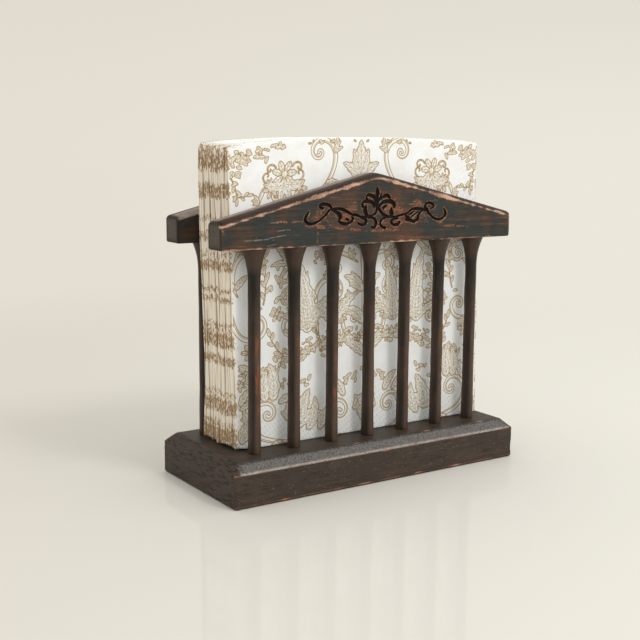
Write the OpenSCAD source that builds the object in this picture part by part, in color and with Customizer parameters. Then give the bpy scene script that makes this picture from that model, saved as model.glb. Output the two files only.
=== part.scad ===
// Napkin holder in the form of a small colonnade: a chamfered base block, two rows of
// turned columns and two gable bars, with a stack of folded napkins standing between them.
// Millimetres, +Z up, +X along the gables, origin on the floor at the middle of the base.

/* [Base] */
// Height of the base block
base_h = 23; // [16:0.5:32]
// How far the base stands out in front of and behind the gable bars
base_margin = 9.8; // [7:0.2:16]
// Width of the sloping edge round the top, seen from above
bevel_w = 5.3; // [2:0.1:6]
// Height of the sloping edge round the top
bevel_h = 5.2; // [2:0.1:8]
// Radius worn onto the base's upright corners and its lower edge
base_edge_r = 1.2; // [0.5:0.1:2]

/* [Gable bars] */
// Length of each gable bar
gable_l = 190.5; // [180:0.5:210]
// How far the gable bars reach past the base at each end
gable_overhang = 1.5; // [-6:0.5:3]
// Thickness of each gable bar
gable_t = 14.4; // [13.6:0.2:20]
// Height of a gable bar at its ends
gable_end_h = 14.5; // [12:0.5:20]
// Rise of the gable from its ends to its peak
gable_rise = 23; // [12:0.5:34]
// Radius worn onto the upright corners at the ends
end_r = 1.4; // [1:0.1:3]
// Radius worn onto the two lower long edges
foot_edge_r = 1.2; // [0.5:0.1:2]
// Radius worn onto the two long edges along the top
top_edge_r = 2.6; // [0.5:0.1:3]

/* [Columns] */
// Free height of a column between the base and a gable bar
column_h = 107.3; // [90:0.5:130]
// How far the outer columns of the front row stand in from the ends of their gable bar
front_inset = 22.65; // [12:0.05:26]
// How far the outer columns of the back row stand in from the ends of their gable bar
back_inset = 19.2; // [12:0.05:26]
// Diameter of the shaft
shaft_d = 6.5; // [5:0.1:8]
// Diameter at the foot
foot_d = 7.1; // [6:0.1:9]
// Height over which the foot runs into the shaft
foot_h = 26; // [10:1:40]
// Diameter of the capital where it meets the gable bar
capital_d = 12.6; // [10:0.1:13.4]
// Height of the flared capital
capital_h = 18; // [10:0.5:26]
// Height of the plain lip at the top of the capital
lip_h = 0.8; // [0.4:0.1:1.5]
// Diameter of the tenons at both ends
tenon_d = 4.6; // [3:0.1:4.8]
// Length of the tenons at both ends
tenon_l = 9; // [5:0.5:11]
// Radial clearance of a tenon in its bore
tenon_gap = 0.05; // [0.03:0.01:0.1]
// Depth left free under the end of a tenon
bore_spare = 1; // [0.5:0.1:2]

/* [Napkins] */
// Width of a folded napkin
napkin_w = 165; // [150:1:170]
// Height of a folded napkin at its middle
napkin_h = 163.5; // [150:0.5:175]
// How much lower a napkin is at its two upper corners
napkin_crown = 3.5; // [0:0.5:6]
// Thickness of a folded napkin
napkin_t = 1.635; // [1.4:0.005:1.8]
// Gap between the two halves of a folded napkin
leaf_gap = 0.2; // [0.1:0.05:0.4]
// Gap between the front napkin and the rest of the stack
pull_gap = 0.3; // [0.1:0.05:0.5]
// Gap between the stack and the gable bars on each side
slot_gap = 0.3; // [0.2:0.05:1]
// How far the stack stands off the middle, to the right
napkin_shift = 1; // [-3:0.5:3]

/* [Hidden] */
COLUMNS = 7;
NAPKINS = 20;
CROWN_STEPS = 16;
FLARE_STEPS = 12;
FLARE_POWER = 2.4;
$fn = 64;
CUT = 1;

// The slot between the gable bars is sized for a full stack.
slot_w = NAPKINS * napkin_t + pull_gap + 2 * slot_gap;
gable_y = slot_w / 2 + gable_t / 2;
base_l = gable_l - 2 * gable_overhang;
base_d = slot_w + 2 * gable_t + 2 * base_margin;
gable_z = base_h + column_h;
bore_r = tenon_d / 2 + tenon_gap;
bore_l = tenon_l + bore_spare;
stack_front_y = slot_gap - slot_w / 2;

wood = [0.17, 0.14, 0.12];
column_wood = [0.12, 0.10, 0.09];
paper = [0.92, 0.90, 0.85];

// The front row is on side -1 and the back row on side 1; columns are counted from the left.
function row_inset(side) = side < 0 ? front_inset : back_inset;
function column_pitch(side) = (gable_l - 2 * row_inset(side)) / (COLUMNS - 1);
function column_x(side, i) = (i - (COLUMNS + 1) / 2) * column_pitch(side);
function two_digits(i) = str(i < 10 ? "0" : "", i);
function column_name(row, i) = str(row, "_column_", i);
function napkin_name(i) = str("napkin_", two_digits(i));

// ---- Worn edges -------------------------------------------------------------------------

// The waste outside a quarter round of radius r, for an edge at the top right of a section.
module corner_waste(r) {
    difference() {
        translate([-r, -r])
            square(r + CUT);
        translate([-r, -r])
            circle(r);
        translate([-2 * r, -2 * r])
            square([r, 3 * r + CUT]);
        translate([-2 * r, -2 * r])
            square([3 * r + CUT, r]);
    }
}

// A rectangle of l by w round the origin with its corners rounded to radius r.
module rounded_plan(l, w, r) {
    square([l - 2 * r, w], center = true);
    square([l, w - 2 * r], center = true);
    for (x = [-1, 1], y = [-1, 1])
        translate([x * (l / 2 - r), y * (w / 2 - r)])
            circle(r);
}

// ---- Base block -------------------------------------------------------------------------

// Cross-section of the base block, w wide: sloping edges above, worn edges below.
module base_section(w) {
    difference() {
        polygon([
            [-w / 2, 0],
            [w / 2, 0],
            [w / 2, base_h - bevel_h],
            [w / 2 - bevel_w, base_h],
            [bevel_w - w / 2, base_h],
            [-w / 2, base_h - bevel_h]
        ]);
        for (side = [-1, 1])
            scale([side, -1])
                translate([w / 2, 0])
                    corner_waste(base_edge_r);
    }
}

// Blind bores for the tenons of one row, opening at z = 0 and running up or down by dir.
module bore_row(side, dir) {
    for (i = [1:COLUMNS])
        translate([column_x(side, i), 0, dir > 0 ? -CUT : -bore_l])
            cylinder(r = bore_r, h = bore_l + CUT);
}

module base_block() {
    color(wood)
    difference() {
        intersection() {
            rotate([90, 0, 0])
                linear_extrude(base_d, center = true)
                    base_section(base_l);
            rotate([90, 0, 90])
                linear_extrude(base_l, center = true)
                    base_section(base_d);
            linear_extrude(base_h)
                rounded_plan(base_l, base_d, base_edge_r);
        }
        for (side = [-1, 1])
            translate([0, side * gable_y, base_h])
                bore_row(side, -1);
    }
}

// ---- Gable bars -------------------------------------------------------------------------

// Right half of the gable's front view, from its middle line to its end.
module gable_half_face() {
    polygon([
        [0, 0],
        [gable_l / 2, 0],
        [gable_l / 2, gable_end_h],
        [0, gable_end_h + gable_rise]
    ]);
}

// Right half of a gable bar with its four long edges worn round.
module gable_half() {
    slope = atan2(gable_rise, gable_l / 2);
    slope_l = norm([gable_rise, gable_l / 2]);
    difference() {
        intersection() {
            rotate([90, 0, 0])
                linear_extrude(gable_t, center = true)
                    gable_half_face();
            linear_extrude(gable_end_h + gable_rise)
                rounded_plan(gable_l, gable_t, end_r);
        }
        for (side = [-1, 1]) {
            translate([gable_l / 2, 0, gable_end_h])
                rotate([0, slope, 0])
                    translate([-slope_l - CUT, 0, 0])
                        rotate([90, 0, 90])
                            linear_extrude(slope_l + 2 * CUT + top_edge_r)
                                long_edge_waste(side, top_edge_r);
            rotate([180, 0, 0])
                translate([-CUT, 0, 0])
                    rotate([90, 0, 90])
                        linear_extrude(gable_l)
                            long_edge_waste(side, foot_edge_r);
        }
    }
}

// Waste along one long edge, worn to radius r, with the bar's top face at height 0.
module long_edge_waste(side, r) {
    scale([side, 1])
        translate([gable_t / 2, 0])
            corner_waste(r);
}

module pediment(side) {
    color(wood)
    translate([0, side * gable_y, gable_z])
        difference() {
            union() {
                gable_half();
                mirror([1, 0, 0])
                    gable_half();
            }
            bore_row(side, 1);
        }
}

// ---- Columns ----------------------------------------------------------------------------

// Radius of the capital at a height h above its lower end: a trumpet that opens upwards.
function flare_r(h) = shaft_d / 2 + (capital_d - shaft_d) / 2 * pow(h / (capital_h - lip_h), FLARE_POWER);

// One turned column with its tenons, standing on z = 0 at the shoulder of the foot.
module turned_column() {
    flare_z = column_h - capital_h;
    flare_h = capital_h - lip_h;
    rotate_extrude()
        polygon(concat(
            [
                [0, -tenon_l],
                [tenon_d / 2, -tenon_l],
                [tenon_d / 2, 0],
                [foot_d / 2, 0],
                [shaft_d / 2, foot_h]
            ],
            [for (k = [0:FLARE_STEPS])
                let(h = flare_h * k / FLARE_STEPS)
                [flare_r(h), flare_z + h]],
            [
                [capital_d / 2, column_h],
                [tenon_d / 2, column_h],
                [tenon_d / 2, column_h + tenon_l],
                [0, column_h + tenon_l]
            ]
        ));
}

module column(side, i) {
    color(column_wood)
    translate([column_x(side, i), side * gable_y, base_h])
        turned_column();
}

// ---- Napkins ----------------------------------------------------------------------------

// Plan view of one folded napkin: two leaves that meet in a round fold at the left end.
module folded_plan() {
    r = napkin_t / 2;
    difference() {
        union() {
            translate([r - napkin_w / 2, -r])
                square([napkin_w - r, napkin_t]);
            translate([r - napkin_w / 2, 0])
                circle(r);
        }
        translate([r - napkin_w / 2, -leaf_gap / 2])
            square([napkin_w, leaf_gap]);
    }
}

// Front view of a napkin, with its slightly arched upper edge.
module napkin_face() {
    polygon(concat(
        [[napkin_w / 2 + CUT, 0], [-napkin_w / 2 - CUT, 0]],
        [for (k = [0:CROWN_STEPS])
            let(u = 2 * k / CROWN_STEPS - 1)
            [u * (napkin_w / 2 + CUT), napkin_h - napkin_crown * u * u]]
    ));
}

// Middle of napkin i, counted from the front, where the first one stands free of the rest.
function napkin_y(i) = stack_front_y + (i - 0.5) * napkin_t + (i > 1 ? pull_gap : 0);

module napkin(i) {
    color(paper)
    translate([napkin_shift, napkin_y(i), base_h])
        intersection() {
            linear_extrude(napkin_h)
                folded_plan();
            rotate([90, 0, 0])
                linear_extrude(2 * napkin_t, center = true)
                    napkin_face();
        }
}

// ---- Nodes ------------------------------------------------------------------------------

base_block();
pediment(-1);  // front_pediment
pediment(1);  // back_pediment
for (i = [1:COLUMNS])
    column(-1, i);
for (i = [1:COLUMNS])
    column(1, i);
for (i = [1:NAPKINS])
    napkin(i);
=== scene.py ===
import math

import bpy
import numpy as np
from mathutils import Matrix, Vector


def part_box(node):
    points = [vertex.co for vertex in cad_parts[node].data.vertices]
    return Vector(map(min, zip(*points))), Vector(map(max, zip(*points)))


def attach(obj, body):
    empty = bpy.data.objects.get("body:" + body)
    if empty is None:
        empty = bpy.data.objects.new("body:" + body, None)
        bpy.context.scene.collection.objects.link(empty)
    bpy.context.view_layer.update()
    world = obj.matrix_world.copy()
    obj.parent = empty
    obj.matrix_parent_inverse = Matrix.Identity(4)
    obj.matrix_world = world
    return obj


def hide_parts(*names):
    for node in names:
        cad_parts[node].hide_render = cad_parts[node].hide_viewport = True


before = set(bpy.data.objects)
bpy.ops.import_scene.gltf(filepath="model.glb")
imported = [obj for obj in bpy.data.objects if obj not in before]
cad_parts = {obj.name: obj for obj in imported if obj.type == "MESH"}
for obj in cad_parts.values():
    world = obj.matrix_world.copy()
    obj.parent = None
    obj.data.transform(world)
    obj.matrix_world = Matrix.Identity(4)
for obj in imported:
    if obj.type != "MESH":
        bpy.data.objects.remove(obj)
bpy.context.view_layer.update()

MM = 0.001


# ---- Camera ---------------------------------------------------------------------------------
# The photograph is taken from the front left and a little above, with a short telephoto lens.
# Its place and lens come from fitting the base, the gables and the columns to the picture.

CAMERA_PLACE = (-353.9, -510.3, 185.6)
CAMERA_YAW = 33.49
CAMERA_PITCH = 9.29
CAMERA_ROLL = 0.44
PICTURE_PIXELS = 640
FOCAL_PIXELS = 1108.7
SENSOR_WIDTH = 36.0

camera_data = bpy.data.cameras.new("camera")
camera_data.sensor_width = SENSOR_WIDTH
camera_data.lens = FOCAL_PIXELS / PICTURE_PIXELS * SENSOR_WIDTH
camera_data.clip_start = 0.01
camera_data.clip_end = 50.0
camera = bpy.data.objects.new("camera", camera_data)
bpy.context.scene.collection.objects.link(camera)
camera.matrix_world = (
    Matrix.Translation([c * MM for c in CAMERA_PLACE])
    @ Matrix.Rotation(math.radians(-CAMERA_YAW), 4, "Z")
    @ Matrix.Rotation(math.radians(90 - CAMERA_PITCH), 4, "X")
    @ Matrix.Rotation(math.radians(CAMERA_ROLL), 4, "Z")
)
bpy.context.scene.camera = camera
bpy.context.scene.view_settings.view_transform = "Standard"


# ---- Table top, backdrop and lamps ----------------------------------------------------------
# A pale cream table top with a faint gloss runs into a backdrop of the same colour. One soft lamp
# stands high in front, and a large dim one on the right.

def colour(red, green, blue):
    """A colour as it shows on screen, 0 to 255 a channel, turned into the linear one of a shader."""
    channels = np.array([red, green, blue]) / 255
    linear = np.where(channels <= 0.04045, channels / 12.92, ((channels + 0.055) / 1.055) ** 2.4)
    return (*linear.tolist(), 1.0)


class Value:
    """One output of a shader node. Python's operators on it add Math nodes."""

    def __init__(self, finish, socket):
        self.finish = finish
        self.socket = socket

    def math(self, operation, first, second=None):
        values = {0: first} if second is None else {0: first, 1: second}
        return self.finish.add("ShaderNodeMath", {"operation": operation}, values)

    def __add__(self, other):
        return self.math("ADD", self, other)

    def __radd__(self, other):
        return self.math("ADD", other, self)

    def __sub__(self, other):
        return self.math("SUBTRACT", self, other)

    def __rsub__(self, other):
        return self.math("SUBTRACT", other, self)

    def __mul__(self, other):
        return self.math("MULTIPLY", self, other)

    def __rmul__(self, other):
        return self.math("MULTIPLY", other, self)

    def __truediv__(self, other):
        return self.math("DIVIDE", self, other)

    def __pow__(self, other):
        return self.math("POWER", self, other)

    def __abs__(self):
        return self.math("ABSOLUTE", self)

    def larger(self, other):
        return self.math("MAXIMUM", self, other)

    def smaller(self, other):
        return self.math("MINIMUM", self, other)

    def sine(self):
        return self.math("SINE", self)

    def step(self, low, high):
        """0 below low and 1 above high, with a soft ramp between; the other way round if low is above
        high."""
        sockets = {"Value": self, "From Min": low, "From Max": high}
        return self.finish.add("ShaderNodeMapRange", {"interpolation_type": "SMOOTHSTEP"}, sockets)


class Finish:
    """The finish of one kind of surface: a material, its main shader and ways to add nodes to it."""

    def __init__(self, name):
        self.material = bpy.data.materials.new(name)
        self.material.use_nodes = True
        self.tree = self.material.node_tree
        self.shader = self.tree.nodes["Principled BSDF"]

    def add(self, kind, settings=None, sockets=None, output=0):
        """Adds one node, with its settings first, then values or links on its sockets."""
        node = self.tree.nodes.new(kind)
        for name, value in (settings or {}).items():
            setattr(node, name, value)
        for name, value in (sockets or {}).items():
            self.feed(node.inputs[name], value)
        return Value(self, node.outputs[output])

    def feed(self, socket, value):
        """Links a value to a socket, or sets the socket to a plain number, colour or vector."""
        if isinstance(value, Value):
            self.tree.links.new(value.socket, socket)
        else:
            socket.default_value = value

    def set(self, **sockets):
        """Feeds the main shader; a name is the socket's own with _ for a space."""
        for name, value in sockets.items():
            self.feed(self.shader.inputs[name.replace("_", " ")], value)

    def place(self):
        """The point on the piece, in millimetres of the shared frame."""
        point = self.add("ShaderNodeTexCoord", output=3)
        return self.stretch(point, 1000, 1000, 1000)

    def stretch(self, point, x, y, z):
        return self.add("ShaderNodeVectorMath", {"operation": "MULTIPLY"}, {0: point, 1: (x, y, z)})

    def parts(self, point):
        """The point's x, y and z, each on its own."""
        split = self.add("ShaderNodeSeparateXYZ", None, {"Vector": point})
        return [Value(self, s) for s in split.socket.node.outputs]

    def attribute(self, name):
        return self.add("ShaderNodeAttribute", {"attribute_name": name}, None, 2)

    def noise(self, point, scale, detail=3.0, roughness=0.5):
        sockets = {"Vector": point, "Scale": scale, "Detail": detail, "Roughness": roughness}
        return self.add("ShaderNodeTexNoise", None, sockets)

    def mix(self, share, low, high):
        """low where share is 0 and high where it is 1, for colours."""
        sockets = {0: share, 6: low, 7: high}
        return self.add("ShaderNodeMix", {"data_type": "RGBA"}, sockets, 2)

    def mix_shader(self, share, low, high):
        """The shader low where share is 0 and high where it is 1."""
        return self.add("ShaderNodeMixShader", None, {0: share, 1: low, 2: high})

    def bump(self, height, strength, distance):
        sockets = {"Height": height, "Strength": strength, "Distance": distance}
        return self.add("ShaderNodeBump", None, sockets)


TABLE_RIGHT = colour(235, 231, 219)
TABLE_LEFT = colour(229, 223, 211)
LIT_RIGHT = colour(219, 217, 210)
LIT_LEFT = colour(210, 206, 198)
TABLE_GLOSS = 0.075
FLOOR_SIZE = 12.0
BLEND_START, BLEND_END = 300.0, 900.0
# The direction that is to the right in the picture, and so from the darker to the lighter side, and where
# the change from dark to light begins and ends: on the backdrop as a share, on the table in millimetres. The
# darker left of table and backdrop is painted shade, for light that comes from the right.
TOWARDS_LIGHT = (0.834, -0.552)
BACKDROP_CHANGE = (-0.3, 0.25)
TABLE_CHANGE = (-260, 200)


def table_finish():
    """Lit cream lacquer near the object, running into the even light of the backdrop further out. Both are
    a little darker on the left, a painted shade for light that comes from the right."""
    table = Finish("table_lacquer")
    x, y, _ = table.parts(table.place())
    distance = (x * x + y * y) ** 0.5
    across = x * TOWARDS_LIGHT[0] + y * TOWARDS_LIGHT[1]
    # Painted shade: the table is darker on the left, for light that comes from the right.
    near = table.mix(across.step(*TABLE_CHANGE), LIT_LEFT, LIT_RIGHT)
    far = table.mix((across / (distance + 1.0)).step(*BACKDROP_CHANGE), TABLE_LEFT, TABLE_RIGHT)
    table.set(Base_Color=near, Roughness=0.9, Specular_IOR_Level=0.0)
    gloss = table.add("ShaderNodeBsdfGlossy", None, {"Roughness": 0.04})
    lacquer = table.mix_shader(TABLE_GLOSS, Value(table, table.shader.outputs[0]), gloss)
    even = table.add("ShaderNodeEmission", None, {"Color": far})
    surface = table.mix_shader(distance.step(BLEND_START, BLEND_END), lacquer, even)
    table.feed(table.tree.nodes["Material Output"].inputs["Surface"], surface)
    return table.material


floor_mesh = bpy.data.meshes.new("table_top")
corner = FLOOR_SIZE / 2
floor_mesh.from_pydata(
    [(-corner, -corner, 0), (corner, -corner, 0), (corner, corner, 0), (-corner, corner, 0)],
    [],
    [(0, 1, 2, 3)],
)
floor_mesh.materials.append(table_finish())
floor = bpy.data.objects.new("table_top", floor_mesh)
bpy.context.scene.collection.objects.link(floor)

WORLD_LIGHT = 1.1
WORLD_COLOUR = colour(248, 246, 241)
BACKDROP_HIGH = colour(223, 218, 205)


class Sky(Finish):
    """The nodes of the world, added in the same way as a material's."""

    def __init__(self, world):
        self.tree = world.node_tree


def studio_world():
    """Even light from all sides. What the camera sees of it, also in gloss, is the backdrop's pale cream,
    with painted shade making it a little darker on the left, and a little darker towards the top."""
    world = bpy.data.worlds.new("studio")
    world.use_nodes = True
    sky = Sky(world)
    nodes = sky.tree.nodes
    light = nodes["Background"]
    light.inputs["Color"].default_value = WORLD_COLOUR
    light.inputs["Strength"].default_value = WORLD_LIGHT
    x, y, z = sky.parts(sky.add("ShaderNodeTexCoord"))
    lit_side = (x * TOWARDS_LIGHT[0] + y * TOWARDS_LIGHT[1]).step(*BACKDROP_CHANGE)
    tone = sky.mix(lit_side, TABLE_LEFT, TABLE_RIGHT)
    tone = sky.mix(z.step(-0.02, 0.16) * 0.8, tone, BACKDROP_HIGH)
    seen = sky.add("ShaderNodeBackground", None, {"Color": tone})
    ray = nodes.new("ShaderNodeLightPath").outputs
    shown = Value(sky, ray["Is Camera Ray"]).larger(Value(sky, ray["Is Glossy Ray"]))
    surface = sky.mix_shader(shown, Value(sky, light.outputs[0]), seen)
    sky.feed(nodes["World Output"].inputs["Surface"], surface)
    return world


bpy.context.scene.world = studio_world()

LAMP_TINT = (0.985, 0.99, 1.0)
LAMP_AIM = (0, 0, 0.08)


def soft_lamp(name, place, size, watts):
    """A square soft lamp at a place in metres, turned to face the object."""
    lamp = bpy.data.lights.new(name, "AREA")
    lamp.shape = "SQUARE"
    lamp.size = size
    lamp.energy = watts
    lamp.color = LAMP_TINT
    holder = bpy.data.objects.new(name, lamp)
    bpy.context.scene.collection.objects.link(holder)
    line = Vector(place) - Vector(LAMP_AIM)
    holder.rotation_euler = line.to_track_quat("Z", "Y").to_euler()
    holder.location = place


soft_lamp("right", (1.2, -1.0, 1.1), 1.4, 2)
soft_lamp("front", (0.32, -1.15, 1.2), 0.35, 7.5)


# ---- Base block -----------------------------------------------------------------------------
# A solid block of stained wood with a planed slope round its top edge. The finish is rubbed
# through to copper-brown on the edges, and the front slope is brushed back to a silvery grey that is partly
# a painted reflection of the light above.

def plane_waves(points, size, seed, count=28):
    """Smooth noise of about unit height: a sum of cosine waves in random directions, their lengths round
    size."""
    rng = np.random.default_rng(seed)
    direction = rng.normal(size=(count, 3))
    direction /= np.linalg.norm(direction, axis=1, keepdims=True)
    number = 2 * np.pi / size * rng.uniform(0.6, 1.7, count)
    phase = rng.uniform(0, 2 * np.pi, count)
    total = np.zeros(points.shape[:-1])
    for k in range(count):
        total += np.cos(points @ direction[k] * number[k] + phase[k])
    return total / math.sqrt(count / 2)


def ramp(value, low, high):
    """0 at low and 1 at high with a smooth run between them."""
    share = np.clip((value - low) / (high - low), 0, 1)
    return share * share * (3 - 2 * share)


# Points that fall together on a grid of this many steps a millimetre are merged.
MERGE_GRID = 2000


def skin(name, grid, finish, body, node, marks):
    """Makes one closed piece from a grid of points in millimetres, whose rims meet. Points that meet are
    merged, empty faces dropped and all faces turned outwards; marks holds a grid of values for each
    attribute. The piece rides on its body in place of its CAD node."""
    index = np.arange(grid.shape[0] * grid.shape[1]).reshape(grid.shape[:2])
    corners = np.stack([index[:-1, :-1], index[:-1, 1:], index[1:, 1:], index[1:, :-1]], -1)
    corners = corners.reshape(-1, 4)
    points = grid.reshape(-1, 3)
    keys = np.round(points * MERGE_GRID).astype(np.int64)
    _, kept, merged = np.unique(keys, axis=0, return_index=True, return_inverse=True)
    corners = merged.reshape(-1)[corners]
    points = points[kept]
    corners = corners[(corners != np.roll(corners, -1, 1)).sum(1) >= 3]
    a, b, c, d = (points[corners[:, k]] for k in range(4))
    if np.einsum("ij,ij->", a + c, np.cross(b - a, c - a) + np.cross(c - a, d - a)) < 0:
        corners = corners[:, ::-1]
    differs = corners != np.roll(corners, -1, 1)
    totals = differs.sum(1)
    mesh = bpy.data.meshes.new(name)
    mesh.vertices.add(len(points))
    mesh.vertices.foreach_set("co", (points * MM).astype(np.float32).ravel())
    mesh.loops.add(int(totals.sum()))
    mesh.loops.foreach_set("vertex_index", corners[differs].astype(np.int32))
    mesh.polygons.add(len(totals))
    mesh.polygons.foreach_set("loop_start", (np.cumsum(totals) - totals).astype(np.int32))
    mesh.polygons.foreach_set("use_smooth", np.ones(len(totals), bool))
    mesh.update(calc_edges=True)
    for mark, values in marks.items():
        layer = mesh.attributes.new(mark, "FLOAT", "POINT")
        layer.data.foreach_set("value", values.ravel()[kept].astype(np.float32))
    mesh.validate()
    mesh.materials.append(finish)
    piece = bpy.data.objects.new(name, mesh)
    bpy.context.scene.collection.objects.link(piece)
    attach(piece, body)
    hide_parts(node)


COPPER, PALE_COPPER = colour(112, 72, 53), colour(184, 142, 121)
DARK_GRAIN = colour(20, 17, 15)
SCRATCH_GREY = colour(128, 126, 122)


def aged_wood(name, ground, brown, patches, streaks, flecks, scratches):
    """Stained wood with its grain along X: a dark ground, browner patches, copper streaks along the
    grain where it is rubbed through, pale flecks and scratches. The attribute rub tells how far, in
    millimetres, a point lies inside a strip that is rubbed bare; noise makes the strip's edge ragged."""
    wood = Finish(name)
    place = wood.place()
    fine = wood.noise(wood.stretch(place, 0.09, 1.0, 1.0), 1.3, 5.0, 0.62)
    lines = wood.noise(wood.stretch(place, 0.035, 1.0, 1.0), 0.55, 4.0, 0.6)
    cloud = wood.noise(place, 0.05, 3.0, 0.6)
    speck = wood.noise(place, 1.1, 3.0, 0.6)
    rub = wood.attribute("rub")
    tone = wood.mix((cloud * 0.7 + lines * 0.4).step(0.5, 0.64) * patches, ground, brown)
    tone = wood.mix(fine.step(0.45, 0.75) * 0.5, tone, DARK_GRAIN)
    scratch = wood.noise(wood.stretch(place, 0.16, 1.6, 1.6), 0.9, 2.0, 0.4).step(0.72, 0.76)
    scratch = scratch * speck.step(0.42, 0.6) * scratches
    tone = wood.mix(scratch, tone, SCRATCH_GREY)
    streak = (lines * 0.6 + cloud * 0.3 + fine * 0.1).step(0.565, 0.64)
    streak = streak * speck.step(0.3, 0.55) * streaks
    tone = wood.mix(streak, tone, COPPER)
    fleck = wood.noise(wood.stretch(place, 0.6, 1.0, 1.0), 1.5, 2.0, 0.5).step(0.69, 0.73) * flecks
    tone = wood.mix(fleck * 0.7, tone, PALE_COPPER)
    worn = (rub + (speck - 0.5) * 1.1 + (fine - 0.5) * 0.9).step(-0.3, 0.45)
    thin = (rub + (speck - 0.5) * 0.9 + (fine - 0.5) * 0.8).step(0.1, 0.75)
    tone = wood.mix(worn * 0.85, tone, wood.mix(thin, COPPER, PALE_COPPER))
    bare = streak.larger(fleck).larger(worn)
    relief = fine * 0.5 + lines * 0.3 - scratch * 0.5 - bare * 0.15
    wood.set(Roughness=0.46 - bare * 0.08 + (fine - 0.5) * 0.2, Specular_IOR_Level=0.16)
    wood.set(Normal=wood.bump(relief, 0.5, 0.0003))
    wood.point, wood.tone, wood.worn = place, tone, worn
    wood.fine, wood.speck, wood.cloud = fine, speck, cloud
    return wood


def ring_pattern(long_steps, short_steps, corner_steps):
    """Once round a rounded rectangle: for each point its share of the two half sizes, and its place on the
    corner's arc."""
    quarter = np.linspace(0, np.pi / 2, corner_steps + 1)[1:-1]
    long_side = np.linspace(-1, 1, long_steps + 1)
    short_side = np.linspace(-1, 1, short_steps + 1)
    flat, turn = np.ones, np.ones(quarter.size)
    half = np.array([
        np.concatenate([long_side, turn, flat(short_side.size), turn]),
        np.concatenate([-flat(long_side.size), -turn, short_side, turn]),
        np.concatenate([0 * long_side, np.sin(quarter), flat(short_side.size), np.cos(quarter)]),
        np.concatenate([-flat(long_side.size), -np.cos(quarter), 0 * short_side, np.sin(quarter)]),
    ])
    full = np.concatenate([half, -half], 1)
    return np.concatenate([full, full[:, :1]], 1)


def walk(corners, step):
    """Points at about equal steps along a line of straight stretches, its corners kept."""
    corners = np.array(corners, float)
    runs = []
    for start, end in zip(corners[:-1], corners[1:]):
        count = max(1, int(np.linalg.norm(end - start) / step))
        runs.append(start + (end - start) * np.linspace(0, 1, count, endpoint=False)[:, None])
    return np.concatenate(runs + [corners[-1:]])


def arc(middle, radius, start, end, steps):
    """Points on an arc in the plane of a profile, from one angle in degrees to another."""
    angle = np.radians(np.linspace(start, end, steps))
    return np.stack([middle[0] + radius * np.cos(angle), middle[1] + radius * np.sin(angle)], -1)


base_low, base_high = (np.array(c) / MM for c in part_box("base_block"))
BASE_L, BASE_D, BASE_H = base_high - base_low
BEVEL_W, BEVEL_H = 5.3, 5.2
FOOT_R = 1.4
CORNER_R = 1.2
DENT_DEPTH, DENT_REACH = 0.32, 0.9
# From here inwards the top is flat and its points stand further apart.
FLAT_FROM = BEVEL_W + 6

# The profile runs inwards under the block, up its side, over the slope and across the top. Its first
# number is how far a point lies inside the footprint.
half_depth = BASE_D / 2
shoulder = BASE_H - BEVEL_H
profile = np.concatenate([
    walk([(half_depth, 0), (FOOT_R, 0)], 6.0)[:-1],
    arc((FOOT_R, FOOT_R), FOOT_R, 270, 180, 6),
    walk([(0, FOOT_R + 0.5), (0, shoulder - 0.4)], 0.7),
    walk([(0.1, shoulder + 0.05), (BEVEL_W - 0.6, BASE_H - 0.55)], 0.4),
    walk([(BEVEL_W - 0.1, BASE_H - 0.2), (BEVEL_W + 0.7, BASE_H), (FLAT_FROM, BASE_H)], 0.7)[:-1],
    walk([(FLAT_FROM, BASE_H), (half_depth, BASE_H)], 2.0),
])
share_x, share_y, arc_x, arc_y = ring_pattern(long_steps=300, short_steps=110, corner_steps=6)
inset, height = profile[:, :1], profile[:, 1:]
round_r = np.clip(CORNER_R, 0, np.maximum(half_depth - inset, 0))
base = np.stack([
    share_x * (BASE_L / 2 - inset - round_r) + arc_x * round_r,
    share_y * (BASE_D / 2 - inset - round_r) + arc_y * round_r,
    height + 0 * share_x,
], -1)

# Small dents along the arrises: points near one are pulled in, more where two sizes of noise meet.
base_x, base_y = base[..., 0], base[..., 1]
to_shoulder = np.hypot(height - shoulder, inset)
to_rim = np.hypot(height - BASE_H, inset - BEVEL_W)
to_foot = np.maximum(height, inset)
to_corner = np.hypot(BASE_L / 2 - np.abs(base_x), BASE_D / 2 - np.abs(base_y))
to_corner += 2 * (height >= shoulder)
nearest = np.minimum(np.minimum(to_shoulder, to_rim), np.minimum(to_foot, to_corner))
uneven = plane_waves(base, 9, 11) * 0.6 + plane_waves(base, 2.6, 12) * 0.6
dents = ramp(uneven, -0.5, 1.7) * DENT_DEPTH * np.exp(-((nearest / DENT_REACH) ** 2))
dents *= inset < BEVEL_W + 1
base_x -= np.sign(base_x) * (arc_x != 0) * dents
base_y -= np.sign(base_y) * (arc_y != 0) * dents

# The front slope is brushed from a ragged start near the left corner to the right end. The edges are
# rubbed bare in places: at the foot and the shoulder in front, and on the front left corner.
BRUSHED_FROM, BRUSHED_TO = 3.5, 2.0
slope = (height > shoulder - 0.2) & (inset < BEVEL_W + 0.2) & (arc_y < 0)
to_end = np.minimum(base_x + BASE_L / 2 - BRUSHED_FROM, BASE_L / 2 - BRUSHED_TO - base_x)
brushed = np.where(slope, np.clip(to_end, -3, 3), -3.0)
patchy = plane_waves(base, 14, 13) * 0.55
on_foot = 0.35 - np.hypot(height - 1.3, inset) + patchy * 0.3
on_shoulder = 0.12 + 0.15 * ramp(-base_x, -75, -45) - to_shoulder + patchy * 0.3
on_rim = patchy - 0.5 - to_rim
on_corner = 0.3 - to_corner + patchy * 0.6
rub = np.maximum(np.maximum(on_foot, on_shoulder), on_rim) - 2 * (arc_y >= 0)
rub = np.maximum(rub, on_corner - 3 * (base_x > 0) - 3 * (base_y > 0) - 3 * (height > shoulder))

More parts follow.
